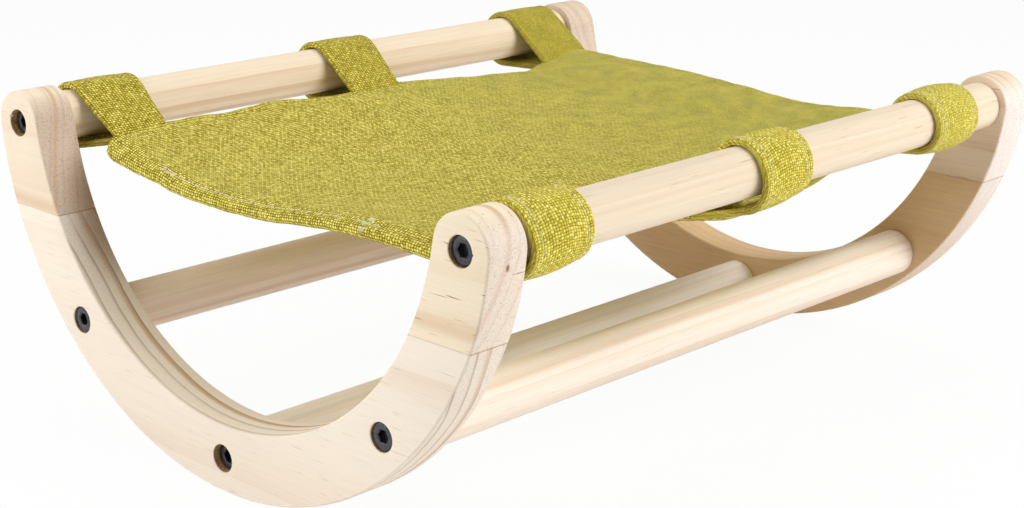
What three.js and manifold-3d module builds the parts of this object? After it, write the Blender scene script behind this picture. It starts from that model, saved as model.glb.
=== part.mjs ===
// A small pet hammock: two half-ring pine side panels, five round rails between them, and a
// double-layer cloth sling that hangs from the two top rails on six loops.
// Millimetres, +Z up. +X runs along the rails from the near panel to the far one, +Y to the left
// rails. The origin is on the floor, in the middle under the half rings' lowest points.
import * as THREE from "three";
import { mergeVertices } from "three/addons/utils/BufferGeometryUtils.js";
import Module from "manifold-3d";

const wasm = await Module();
wasm.setup();

// Side panels: a flat half ring, glued up from three boards, that stands on a narrow flat
const panelThickness = 20;
const ringRadius = 140.25;
const bandWidth = 29.5;
const tipHeight = 132.75;
const tipDrawIn = 0.5;
const shoulderAngle = THREE.MathUtils.degToRad(68);
const glueJointHeight = 95.75;
const easedEdge = 1.2;
const floorFlat = 12;

// Rails: the top pair lies at the panels' tips, the others on the band
const railDiameter = 22;
const railLength = 326.5;
const sideRailAngle = THREE.MathUtils.degToRad(43);
const sideRailSetOut = 1.2;

// Screws: a hex-socket head in a counterbore, a plain shank and a tapered point
const headDiameter = 11.4;
const headHeight = 4;
const headChamfer = 0.5;
const socketAcrossFlats = 5;
const socketDepth = 3;
const shankDiameter = 6.6;
const screwLength = 50;
const pointLength = 5;
const pointDiameter = 3;
const screwClearance = 0.3;
const topLeftRecess = 2.75;
const topRightRecess = 1.25;
const sideLeftRecess = 0.75;
const sideRightRecess = 0.75;
const bottomRecess = 2.75;

// Cloth: the sheet is two layers thick, each loop is a double strap of the same cloth
const clothThickness = 3;
const strapThickness = 2.5;
const strapWidth = 34;
const strapClearance = 0.3;
const strapEase = 0.7;
const seamDepth = 1;
const leftNearGap = 6.5;
const rightNearGap = 1.5;
const leftFarGap = 3;
const rightFarGap = 23.5;
const leftMiddleShift = 1.5;
const rightMiddleShift = 3;
const sheetNearGap = 3.5;
const sheetFarGap = 6.5;

// Inner edge of each loop, where the sheet begins: in from the rail's axis and below it
const leftNearReach = 27;
const leftMiddleReach = 26;
const leftFarReach = 26;
const rightNearReach = 30;
const rightMiddleReach = 22;
const rightFarReach = 24;
const leftNearDrop = 6.5;
const leftMiddleDrop = 8;
const leftFarDrop = 8;
const rightNearDrop = 16.5;
const rightMiddleDrop = 23;
const rightFarDrop = 15;

// Slack of each loop below its rail
const leftSlack = 0.5;
const rightNearSlack = 1;
const rightMiddleSlack = 2.25;
const rightFarSlack = 1;

// The sheet's sides draw in and dip between the loops, and its middle sags
const leftNearScallop = 1;
const leftFarScallop = 14;
const rightNearScallop = 5;
const rightFarScallop = 5;
const leftFarScallopPeakShare = 0.72;
const evenScallopPeakShare = 0.5;
const sideDipShare = 0.28;
const sheetSag = 21;
const nearSagShares = [0.425, 0.51, 0.42, 0.17, 0.01];
const middleSagShares = [0.19, 0.28, 0.275, 0.27, 0.23];
const farSagShares = [-0.02, -0.05, -0.01, 0.06, -0.01];
const foldDepth = 3;
const foldHalfWidth = 14;
const foldStartShare = new THREE.Vector2(0.5, 0.95);
const foldEndShare = new THREE.Vector2(0.86, 0.36);

// Facets and allowances
const arcStep = THREE.MathUtils.degToRad(4.5);
const tipStep = THREE.MathUtils.degToRad(15);
const strapStep = THREE.MathUtils.degToRad(18);
const railSides = 40;
const boreSides = 20;
const headSides = 24;
const sheetStep = 16;
const sheetColumns = 18;
const overrun = 1;

// Worked out from the sizes above
const outerRadius = ringRadius + bandWidth / 2;
const innerRadius = ringRadius - bandWidth / 2;
const ringCentre = new THREE.Vector2(0, Math.sqrt(outerRadius ** 2 - (floorFlat / 2) ** 2));
const tipRadius = bandWidth / 2 - tipDrawIn;
const tipY = Math.sqrt((innerRadius + tipRadius) ** 2 - (ringCentre.y - tipHeight) ** 2);
const innerFace = railLength / 2;
const outerFace = innerFace + panelThickness;
const railRadius = railDiameter / 2;
const counterboreRadius = headDiameter / 2 + screwClearance;
const holeRadius = shankDiameter / 2 + screwClearance;

const paints = {
  faceWood: { color: 0xf4e4ca, roughness: 0.62 },
  railWood: { color: 0xf2e2cc, roughness: 0.58 },
  screw: { color: 0x1a1a1c, roughness: 0.4, metalness: 0.7 },
  cloth: { color: 0xb3aa42, roughness: 0.95 },
};
const hammock = new THREE.Group();

function addPiece(name, geometry, paint, place = new THREE.Vector3()) {
  const mesh = new THREE.Mesh(geometry, new THREE.MeshStandardMaterial(paints[paint]));
  mesh.name = name;
  mesh.position.copy(place);
  hammock.add(mesh);
}

// Solids for cutting: a closed geometry with its vertices merged, and back again
function toSolid(geometry) {
  const bare = geometry.clone();
  bare.deleteAttribute("normal");
  bare.deleteAttribute("uv");
  const merged = mergeVertices(bare);
  return new wasm.Manifold(new wasm.Mesh({
    numProp: 3,
    vertProperties: Float32Array.from(merged.attributes.position.array),
    triVerts: Uint32Array.from(merged.index.array),
  }));
}

function toGeometry(solid) {
  const mesh = solid.getMesh();
  const geometry = new THREE.BufferGeometry();
  geometry.setAttribute("position", new THREE.BufferAttribute(mesh.vertProperties, 3));
  geometry.setIndex(new THREE.BufferAttribute(mesh.triVerts, 1));
  return geometry;
}

// Points of an arc, from one angle to the other, ends included
function arcPoints(centre, radius, start, end, step) {
  const count = Math.max(1, Math.ceil(Math.abs(end - start) / step));
  return Array.from({ length: count + 1 }, (_, i) => {
    const angle = start + (end - start) * i / count;
    return new THREE.Vector2(
      centre.x + radius * Math.cos(angle), centre.y + radius * Math.sin(angle));
  });
}

// A section drawn in (y, z), drawn out along X between two places
function extrudeAlongX(shape, from, to, options = {}) {
  const geometry = new THREE.ExtrudeGeometry(
    shape, { depth: to - from, bevelEnabled: false, ...options });
  const turn = new THREE.Matrix4().makeBasis(
    new THREE.Vector3(0, 1, 0), new THREE.Vector3(0, 0, 1), new THREE.Vector3(1, 0, 0));
  geometry.applyMatrix4(turn);
  geometry.translate(from, 0, 0);
  return geometry;
}

function rodAlongX(radius, from, to, y, z, sides) {
  const rod = new THREE.CylinderGeometry(radius, radius, to - from, sides);
  rod.rotateZ(-Math.PI / 2);
  rod.translate((from + to) / 2, y, z);
  return rod;
}

// Rail places in (y, z), which the screws, bores and loops share
function onRing(angle, radius) {
  return new THREE.Vector2(
    ringCentre.x + radius * Math.sin(angle), ringCentre.y - radius * Math.cos(angle));
}

const sidePlace = onRing(sideRailAngle, ringRadius + sideRailSetOut);
const rails = [
  { name: "top_left", y: tipY, z: tipHeight, recess: topLeftRecess },
  { name: "top_right", y: -tipY, z: tipHeight, recess: topRightRecess },
  { name: "side_left", y: sidePlace.x, z: sidePlace.y, recess: sideLeftRecess },
  { name: "side_right", y: -sidePlace.x, z: sidePlace.y, recess: sideRightRecess },
  { name: "bottom", y: 0, z: onRing(0, ringRadius).y, recess: bottomRecess },
];

// Outline of a half ring: half of the narrow flat that it stands on, outer arc, a tighter
// shoulder arc, the round tip and the inner arc, each arc tangent to the next, then the same
// mirrored
function panelOutline() {
  const tip = new THREE.Vector2(tipY, tipHeight);
  const shoulderWay = new THREE.Vector2(Math.sin(shoulderAngle), -Math.cos(shoulderAngle));
  const back = ringCentre.clone().sub(tip);
  const reach = outerRadius - tipRadius;
  const offset = (reach ** 2 - back.lengthSq()) / (2 * (reach + back.dot(shoulderWay)));
  const shoulderCentre = ringCentre.clone().addScaledVector(shoulderWay, offset);
  const shoulderRadius = outerRadius - offset;
  const floorEnd = Math.asin(floorFlat / 2 / outerRadius) - Math.PI / 2;
  const shoulderStart = shoulderAngle - Math.PI / 2;
  const tipStart = tip.clone().sub(shoulderCentre).angle();
  const tipStartSigned = tipStart > Math.PI ? tipStart - 2 * Math.PI : tipStart;
  const innerStart = back.angle();
  const right = [
    ...arcPoints(ringCentre, outerRadius, floorEnd, shoulderStart, arcStep),
    ...arcPoints(shoulderCentre, shoulderRadius, shoulderStart, tipStartSigned, arcStep).slice(1),
    ...arcPoints(tip, tipRadius, tipStartSigned, innerStart, tipStep).slice(1),
    ...arcPoints(ringCentre, innerRadius, innerStart - Math.PI, -Math.PI / 2, arcStep).slice(1),
  ];
  const left = right.slice(0, -1).reverse().map((p) => new THREE.Vector2(-p.x, p.y));
  return new THREE.Shape([...right, ...left]);
}

function addPanel(side, sign) {
  const from = sign < 0 ? -outerFace : innerFace;
  const to = from + panelThickness;
  let panel = toSolid(extrudeAlongX(panelOutline(), from + easedEdge, to - easedEdge, {
    bevelEnabled: true,
    bevelThickness: easedEdge,
    bevelSize: easedEdge,
    bevelOffset: -easedEdge,
    bevelSegments: 2,
  }));
  for (const rail of rails) {
    const floor = sign * (outerFace - rail.recess - headHeight);
    const mouth = sign * (outerFace + overrun);
    const back = sign * (innerFace - overrun);
    const [boreFrom, boreTo] = [Math.min(floor, mouth), Math.max(floor, mouth)];
    const [holeFrom, holeTo] = [Math.min(back, floor), Math.max(back, floor)];
    const bore = rodAlongX(counterboreRadius, boreFrom, boreTo, rail.y, rail.z, headSides);
    const hole = rodAlongX(
      holeRadius, holeFrom - overrun, holeTo + overrun, rail.y, rail.z, boreSides);
    panel = panel.subtract(toSolid(bore)).subtract(toSolid(hole));
  }
  const reach = outerRadius + overrun;
  const boards = [
    { name: "lower_board", y: [-reach, reach], z: [-overrun, glueJointHeight] },
    { name: "left_arm", y: [0, reach], z: [glueJointHeight, ringCentre.y + reach] },
    { name: "right_arm", y: [-reach, 0], z: [glueJointHeight, ringCentre.y + reach] },
  ];
  for (const board of boards) {
    const [y0, y1] = board.y;
    const [z0, z1] = board.z;
    const block = new THREE.BoxGeometry(panelThickness + 2 * overrun, y1 - y0, z1 - z0);
    block.translate((from + to) / 2, (y0 + y1) / 2, (z0 + z1) / 2);
    addPiece(`${side}_${board.name}`, toGeometry(panel.intersect(toSolid(block))), "faceWood");
  }
}

function addRail(rail) {
  let rod = toSolid(rodAlongX(railRadius, -innerFace, innerFace, rail.y, rail.z, railSides));
  const tip = outerFace - rail.recess - screwLength - screwClearance;
  for (const sign of [-1, 1]) {
    const ends = [sign * tip, sign * (innerFace + overrun)].sort((a, b) => a - b);
    rod = rod.subtract(toSolid(
      rodAlongX(holeRadius, ends[0], ends[1], rail.y, rail.z, boreSides)));
  }
  addPiece(`rail_${rail.name}`, toGeometry(rod), "railWood");
}

// One screw, its head's top at zero and its point towards +X on the near panel
function screwGeometry(sign) {
  const profile = [
    [0, -screwLength],
    [pointDiameter / 2, -screwLength],
    [shankDiameter / 2, pointLength - screwLength],
    [shankDiameter / 2, -headHeight],
    [headDiameter / 2, -headHeight],
    [headDiameter / 2, -headChamfer],
    [headDiameter / 2 - headChamfer, 0],
    [0, 0],
  ].map(([r, h]) => new THREE.Vector2(r, h));
  const socket = new THREE.CylinderGeometry(
    socketAcrossFlats / Math.sqrt(3), socketAcrossFlats / Math.sqrt(3),
    socketDepth + overrun, 6);
  socket.translate(0, (overrun - socketDepth) / 2, 0);
  const body = toSolid(new THREE.LatheGeometry(profile, headSides)).subtract(toSolid(socket));
  const geometry = toGeometry(body);
  geometry.rotateZ(-sign * Math.PI / 2);
  return geometry;
}

// Loops: where each one begins along its rail, how far its inner edge reaches and drops
function railLoops(side, nearGap, farGap, shift, reaches, drops, slacks) {
  const near = -innerFace + nearGap;
  const far = innerFace - farGap - strapWidth;
  const places = { near, middle: (near + far) / 2 + shift, far };
  return Object.entries(places).map(([name, from], i) => ({
    name, side, from, to: from + strapWidth, reach: reaches[i], drop: drops[i], slack: slacks[i],
  }));
}

const leftLoops = railLoops(1, leftNearGap, leftFarGap, leftMiddleShift,
  [leftNearReach, leftMiddleReach, leftFarReach],
  [leftNearDrop, leftMiddleDrop, leftFarDrop],
  [leftSlack, leftSlack, leftSlack]);
const rightLoops = railLoops(-1, rightNearGap, rightFarGap, rightMiddleShift,
  [rightNearReach, rightMiddleReach, rightFarReach],
  [rightNearDrop, rightMiddleDrop, rightFarDrop],
  [rightNearSlack, rightMiddleSlack, rightFarSlack]);
const loops = [...leftLoops, ...rightLoops];

// Convex outline round a set of points, anticlockwise
function hull(points) {
  const sorted = [...points].sort((a, b) => a.x - b.x || a.y - b.y);
  const half = (list) => {
    const chain = [];
    for (const p of list) {
      while (chain.length > 1) {
        const [a, b] = chain.slice(-2);
        if ((b.x - a.x) * (p.y - a.y) - (b.y - a.y) * (p.x - a.x) > 0) break;
        chain.pop();
      }
      chain.push(p);
    }
    return chain.slice(0, -1);
  };
  return [...half(sorted), ...half(sorted.reverse())];
}

// A convex outline cut off square at a place across the part
function cutSquare(points, side, limit) {
  const depth = (p) => side * (p.x - limit);
  return points.flatMap((a, i) => {
    const b = points[(i + 1) % points.length];
    const kept = depth(a) >= 0 ? [a] : [];
    if (depth(a) * depth(b) >= 0) return kept;
    return [...kept, a.clone().lerp(b, depth(a) / (depth(a) - depth(b))).setX(limit)];
  });
}

// A loop's section: a strap a little wider than the rail, which rests on it, hangs slack under
// it and closes on its two ends, cut square where the sheet begins
function addLoop(loop) {
  const inner = railRadius + strapClearance + strapEase;
  const top = new THREE.Vector2(loop.side * tipY, tipHeight - strapEase);
  const low = top.clone().setY(top.y - loop.slack);
  const end = loop.side * (tipY - loop.reach);
  const seam = new THREE.Vector2(end + loop.side * seamDepth, tipHeight - loop.drop);
  const circle = (centre, radius) =>
    arcPoints(centre, radius, 0, 2 * Math.PI, strapStep).slice(1);
  const band = (grown) => hull([
    ...circle(top, inner + grown), ...circle(low, inner + grown),
    ...(grown > 0 ? circle(seam, grown) : [seam]),
  ]);
  const shape = new THREE.Shape(cutSquare(band(strapThickness), loop.side, end));
  shape.holes.push(new THREE.Path(band(0).reverse()));
  const rail = loop.side > 0 ? "left" : "right";
  addPiece(`loop_${rail}_${loop.name}`, extrudeAlongX(shape, loop.from, loop.to), "cloth");
}

// The value at a place along X: constant over each loop, eased between two loops
function alongLoops(x, stops) {
  const [first, ...others] = stops;
  if (x <= first.to) return first.value;
  let previous = first;
  for (const stop of others) {
    if (x < stop.from) {
      const ease = THREE.MathUtils.smoothstep(x, previous.to, stop.from);
      return THREE.MathUtils.lerp(previous.value, stop.value, ease);
    }
    if (x <= stop.to) return stop.value;
    previous = stop;
  }
  return previous.value;
}

// How far the sheet's side draws in at a place between two loops
function drawIn(x, sideLoops, scallops) {
  for (let i = 0; i < scallops.length; i += 1) {
    const [from, to] = [sideLoops[i].to, sideLoops[i + 1].from];
    const peak = THREE.MathUtils.lerp(from, to, scallops[i].peakShare);
    if (x > from && x < to) {
      const rise = THREE.MathUtils.smoothstep(x, from, peak);
      return scallops[i].depth * rise * (1 - THREE.MathUtils.smoothstep(x, peak, to));
    }
  }
  return 0;
}

// A smooth value between evenly spaced ones: zero at both ends of the cloth's width
function acrossShares(shares, v) {
  const points = [0, ...shares, 0].map(
    (share, i, all) => new THREE.Vector2(i / (all.length - 1), share));
  return new THREE.SplineCurve(points).getPoint(v).y;
}

// The middle surface of the sheet: x runs from the near end to the far one, v from the left
// side to the right
const sheetStart = -innerFace + sheetNearGap;
const sheetEnd = innerFace - sheetFarGap;
const scallop = (depth, peakShare = evenScallopPeakShare) => ({ depth, peakShare });
const leftScallops = [scallop(leftNearScallop), scallop(leftFarScallop, leftFarScallopPeakShare)];
const rightScallops = [scallop(rightNearScallop), scallop(rightFarScallop)];

function sheetPoint(x, v) {
  const stops = (list, key) => list.map(({ from, to, [key]: value }) => ({ from, to, value }));
  const leftIn = drawIn(x, leftLoops, leftScallops);
  const rightIn = drawIn(x, rightLoops, rightScallops);
  const left = tipY - alongLoops(x, stops(leftLoops, "reach")) - leftIn;
  const right = -tipY + alongLoops(x, stops(rightLoops, "reach")) + rightIn;
  const leftDrop = alongLoops(x, stops(leftLoops, "drop")) + sideDipShare * leftIn;
  const rightDrop = alongLoops(x, stops(rightLoops, "drop")) + sideDipShare * rightIn;
  const u = (x - sheetStart) / (sheetEnd - sheetStart);
  const sag = sheetSag * (
    acrossShares(nearSagShares, v) * (1 - u) * (1 - 2 * u)
    + acrossShares(middleSagShares, v) * 4 * u * (1 - u)
    + acrossShares(farSagShares, v) * u * (2 * u - 1));
  const y = THREE.MathUtils.lerp(left, right, v);
  const z = tipHeight - THREE.MathUtils.lerp(leftDrop, rightDrop, v) - sag;
  return new THREE.Vector3(x, y, z - foldDepth * foldShare(u, v));
}

// One soft valley runs from the right middle loop towards the far left corner
function foldShare(u, v) {
  const along = foldEndShare.clone().sub(foldStartShare);
  const from = new THREE.Vector2(u, v).sub(foldStartShare);
  const t = THREE.MathUtils.clamp(from.dot(along) / along.lengthSq(), 0, 1);
  const miss = from.sub(along.clone().multiplyScalar(t));
  const away = Math.hypot(miss.x * (sheetEnd - sheetStart), miss.y * 2 * tipY) / foldHalfWidth;
  const edge = Math.sin(Math.PI * v) * Math.sin(Math.PI * u);
  return Math.exp(-(away ** 2)) * edge;
}

// Stations along X: every loop's edges, and steps between them
function sheetStations() {
  const marks = [sheetStart, sheetEnd, ...loops.flatMap((loop) => [loop.from, loop.to])]
    .filter((x) => x >= sheetStart && x <= sheetEnd)
    .sort((a, b) => a - b);
  const stations = [marks[0]];
  for (let i = 1; i < marks.length; i += 1) {
    const gap = marks[i] - marks[i - 1];
    const count = Math.ceil(gap / sheetStep);
    for (let k = 1; k <= count; k += 1) stations.push(marks[i - 1] + gap * k / count);
  }
  return stations.filter((x, i) => i === 0 || x > stations[i - 1]);
}

function addSheet() {
  const stations = sheetStations();
  const across = sheetColumns + 1;
  const layer = stations.length * across;
  const positions = [];
  for (const lift of [clothThickness / 2, -clothThickness / 2]) {
    for (const x of stations) {
      for (let j = 0; j < across; j += 1) {
        const p = sheetPoint(x, j / sheetColumns);
        positions.push(p.x, p.y, p.z + lift);
      }
    }
  }
  const index = [];
  const quad = (a, b, c, d) => index.push(a, b, c, a, c, d);
  for (let i = 0; i + 1 < stations.length; i += 1) {
    for (let j = 0; j + 1 < across; j += 1) {
      const a = i * across + j;
      quad(a, a + 1, a + across + 1, a + across);
      quad(layer + a, layer + a + across, layer + a + across + 1, layer + a + 1);
    }
    const left = i * across;
    const right = left + sheetColumns;
    quad(left, left + across, layer + left + across, layer + left);
    quad(right, layer + right, layer + right + across, right + across);
  }
  for (let j = 0; j + 1 < across; j += 1) {
    const far = (stations.length - 1) * across + j;
    quad(j, layer + j, layer + j + 1, j + 1);
    quad(far, far + 1, layer + far + 1, layer + far);
  }
  const geometry = new THREE.BufferGeometry();
  geometry.setAttribute("position", new THREE.Float32BufferAttribute(positions, 3));
  geometry.setIndex(index);
  addPiece("sling_sheet", geometry, "cloth");
}

addPanel("near", -1);
addPanel("far", 1);
rails.forEach(addRail);
for (const [side, sign] of [["near", -1], ["far", 1]]) {
  for (const rail of rails) {
    const place = new THREE.Vector3(sign * (outerFace - rail.recess), rail.y, rail.z);
    addPiece(`screw_${side}_${rail.name}`, screwGeometry(sign), "screw", place);
  }
}
loops.forEach(addLoop);
addSheet();

export default hammock;
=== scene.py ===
# A small pet hammock: pine side panels and rails, black hex-socket screws and a coarse green
# cloth sling. Metres, +Z up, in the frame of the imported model.
import math

import bmesh
import bpy
import numpy as np
from mathutils import Matrix, Vector, noise


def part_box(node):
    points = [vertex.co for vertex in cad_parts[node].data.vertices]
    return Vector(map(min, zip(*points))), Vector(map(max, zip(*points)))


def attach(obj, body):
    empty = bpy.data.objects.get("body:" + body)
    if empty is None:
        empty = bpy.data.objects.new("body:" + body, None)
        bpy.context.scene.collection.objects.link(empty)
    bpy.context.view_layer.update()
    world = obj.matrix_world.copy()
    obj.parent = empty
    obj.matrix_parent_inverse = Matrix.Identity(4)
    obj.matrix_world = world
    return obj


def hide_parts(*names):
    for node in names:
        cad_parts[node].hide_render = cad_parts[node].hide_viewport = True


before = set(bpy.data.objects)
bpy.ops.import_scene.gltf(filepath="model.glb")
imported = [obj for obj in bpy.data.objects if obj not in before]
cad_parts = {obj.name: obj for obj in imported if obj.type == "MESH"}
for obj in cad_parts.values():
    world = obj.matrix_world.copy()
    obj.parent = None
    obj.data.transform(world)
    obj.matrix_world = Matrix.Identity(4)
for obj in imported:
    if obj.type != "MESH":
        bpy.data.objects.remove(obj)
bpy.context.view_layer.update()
scene = bpy.context.scene
touching = 1e-6     # points nearer than this, in metres, are one point
print("frame loaded:", len(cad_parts), "nodes")


def boxOf(node):
    low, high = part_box(node)
    return Vector(low), Vector(high)


def middleOf(node):
    low, high = boxOf(node)
    return (low + high) / 2


def newObject(name, data):
    made = bpy.data.objects.new(name, data)
    scene.collection.objects.link(made)
    return made


def meshFrom(name, bm):
    mesh = bpy.data.meshes.new(name)
    bm.to_mesh(mesh)
    bm.free()
    return mesh


# Camera, at the place worked out from the rails and the screws
camera = {
    "place": (-0.64147, -0.60110, 0.32799),
    "heading": math.radians(-47.80),
    "pitch": math.radians(-15.69),
    "roll": math.radians(0.977),
    "lens": 68.54,
    "sensor": 36,
    "shift": (-0.0483, -0.0342),
    "clipStart": 0.01,
}


def makeCamera():
    data = bpy.data.cameras.new("camera")
    data.lens = camera["lens"]
    data.sensor_width = camera["sensor"]
    data.shift_x, data.shift_y = camera["shift"]
    data.clip_start = camera["clipStart"]
    lens = newObject("camera", data)
    turn = Matrix.Rotation(camera["heading"], 4, "Z")
    tilt = Matrix.Rotation(math.pi / 2 + camera["pitch"], 4, "X")
    roll = Matrix.Rotation(camera["roll"], 4, "Z")
    lens.matrix_world = Matrix.Translation(camera["place"]) @ turn @ tilt @ roll
    scene.camera = lens


makeCamera()
print("camera set")


# Shared small tools
def hexColour(code):
    # sRGB hex to the linear values that the sockets take
    parts = [int(code[i:i + 2], 16) / 255 for i in (1, 3, 5)]
    return (*[c / 12.92 if c <= 0.04045 else ((c + 0.055) / 1.055) ** 2.4 for c in parts], 1)


def addNode(tree, kind, inputs=(), stops=(), **settings):
    # The inputs go by name or in the sockets' own order, which for MapRange is the value, the
    # range it comes from and the range it goes to. A node stands for its first output in use,
    # and a string is a hex colour
    node = tree.nodes.new("ShaderNode" + kind)
    for name, value in settings.items():
        setattr(node, name, value)
    for name, value in inputs.items() if isinstance(inputs, dict) else enumerate(inputs):
        if isinstance(value, bpy.types.Node):
            value = next(output for output in value.outputs if output.enabled)
        if isinstance(value, bpy.types.NodeSocket):
            tree.links.new(value, node.inputs[name])
        else:
            node.inputs[name].default_value = hexColour(value) if isinstance(value, str) else value
    if stops:
        elements = node.color_ramp.elements
        while len(elements) < len(stops):
            elements.new(0.5)
        for element, (place, colour) in zip(elements, stops):
            element.position = place
            element.color = hexColour(colour) if isinstance(colour, str) else (*[colour] * 3, 1)
    return node


def newMaterial(name):
    material = bpy.data.materials.new(name)
    material.use_nodes = True
    material.node_tree.nodes.clear()
    return material, material.node_tree


def finishMaterial(tree, shader):
    addNode(tree, "OutputMaterial", {"Surface": shader})


def speckled(tree, scale, detail, *stops):
    # A fine speckle, with so many spots to the metre, and the tones that it picks
    coords = addNode(tree, "TexCoord").outputs["Object"]
    speckle = addNode(tree, "TexNoise", {"Vector": coords, "Scale": scale, "Detail": detail})
    return speckle, addNode(tree, "ValToRGB", [speckle], stops)


def pushedBy(tree, start, drift, amount):
    # Coordinates pushed about by a noise, up to half the amount each way
    centred = addNode(tree, "VectorMath", [drift.outputs["Color"], (0.5, 0.5, 0.5)],
                      operation="SUBTRACT")
    push = addNode(tree, "VectorMath", {0: centred, "Scale": amount}, operation="SCALE")
    return addNode(tree, "VectorMath", [start, push], operation="ADD")


def makePiece(name, bm, material, body, nodes=(), sharpAngle=math.radians(14)):
    # Smooth shading, with the edges sharper than the angle kept crisp
    mesh = meshFrom(name, bm)
    mesh.polygons.foreach_set("use_smooth", [True] * len(mesh.polygons))
    mesh.set_sharp_from_angle(angle=sharpAngle)
    mesh.materials.append(material)
    piece = newObject(name, mesh)
    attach(piece, body)
    if nodes:
        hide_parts(*nodes)
    return piece


def cutAway(bm, cutters):
    # The solid in bm less each cutter, as a new bmesh
    solid = newObject("solid", meshFrom("solid", bm))
    tools = [newObject("cutter", meshFrom("cutter", cutter)) for cutter in cutters]
    for tool in tools:
        cut = solid.modifiers.new("cut", "BOOLEAN")
        cut.object = tool
        cut.operation = "DIFFERENCE"
        cut.solver = "EXACT"
    ready = solid.evaluated_get(bpy.context.evaluated_depsgraph_get())
    result = bmesh.new()
    result.from_mesh(ready.to_mesh())
    ready.to_mesh_clear()
    for used in [solid, *tools]:
        bpy.data.objects.remove(used)
    return result


def closeUp(bm, gap=touching):
    bmesh.ops.remove_doubles(bm, verts=bm.verts, dist=gap)
    bmesh.ops.recalc_face_normals(bm, faces=bm.faces)


def turnedAlongX(profile, steps):
    # A profile of (x, radius) points, spun once about the X axis
    bm = bmesh.new()
    points = [bm.verts.new((x, 0, radius)) for x, radius in profile]
    edges = [bm.edges.new(pair) for pair in zip(points, points[1:])]
    bmesh.ops.spin(bm, geom=[*points, *edges], cent=(0, 0, 0), axis=(1, 0, 0),
                   angle=2 * math.pi, steps=steps, use_merge=True)
    closeUp(bm)
    return bm


def coneAlongX(segments, radius, endRadius, length):
    bm = bmesh.new()
    bmesh.ops.create_cone(bm, cap_ends=True, segments=segments, radius1=radius,
                          radius2=endRadius, depth=length,
                          matrix=Matrix.Rotation(math.pi / 2, 4, "Y"))
    return bm


def moved(bm, place, flip=False):
    # To its place, and turned to face the other way along X for the far panel
    if flip:
        turn = Matrix.Rotation(math.pi, 3, "Z")
        bmesh.ops.rotate(bm, verts=bm.verts, cent=(0, 0, 0), matrix=turn)
    bmesh.ops.translate(bm, verts=bm.verts, vec=place)
    return bm


# Pine: pale earlywood, narrow tan latewood rings, fine long fibre, and speckled end grain
# where the surface cuts across the fibre. Real fibres and pores are well under a tenth of a
# millimetre wide, and are drawn coarser here so that they show. Where a size has two values, they
# are across the fibre and along it; a "From" gives where a mask starts and where it is full
pine = {
    # The bores' tones are darkened with painted shade for the inside of the bores
    "boredShade": ("#8A673D", "#C4A272"),
    "deepLatewood": "#A97A50",
    "bandTone": "#CFA06C",
    "knotAndShadeTone": "#8A5C38",
    "edgeLine": "#8A5F3E",
    "endPore": "#8E7263",
    "resin": "#A5673F",
    "glue": "#9A7656",
    "glueWidth": 0.0003,
    "glueShow": (0.12, 0.6),        # on the faces and on the edges
    "ringSpacing": 0.0065,
    "ringStops": [(0.0, 0.35), (0.08, 0.0), (0.55, 0.12), (0.86, 0.75), (0.97, 1.0)],
    "lineStops": [(0.0, 0.5), (0.05, 0.0), (0.78, 0.0), (0.9, 0.55), (0.97, 1.0)],
    "endFrom": (0.45, 0.95),
    "edgeFrom": (0.9, 0.3),
    "rimFrom": (-0.01, 0.01),
    "warp": (0.045, 0.315),
    "warpDepth": 0.006,
    "patch": (0.03, 0.16),
    "patchShow": (0.35, 0.7, 0.25, 1.0),     # from the noise, and to the rings' strength
    "fibre": (0.0007, 0.035),
    "fibreSpread": (0.3, 0.7),
    "streak": (0.0007, 0.014),
    "streakFrom": (0.75, 0.84),
    "pores": [(0.00028, 0.5, 0.75), (0.0006, 0.56, 0.74)],      # size, from
    "bandWidth": 0.0021,
    "bandOnFace": 0.6,
    "knotAndShadeCore": 0.2,
    "bump": (0.2, 0.0003),      # strength, depth
    "roughness": (0.48, 0.66),
}


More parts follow.
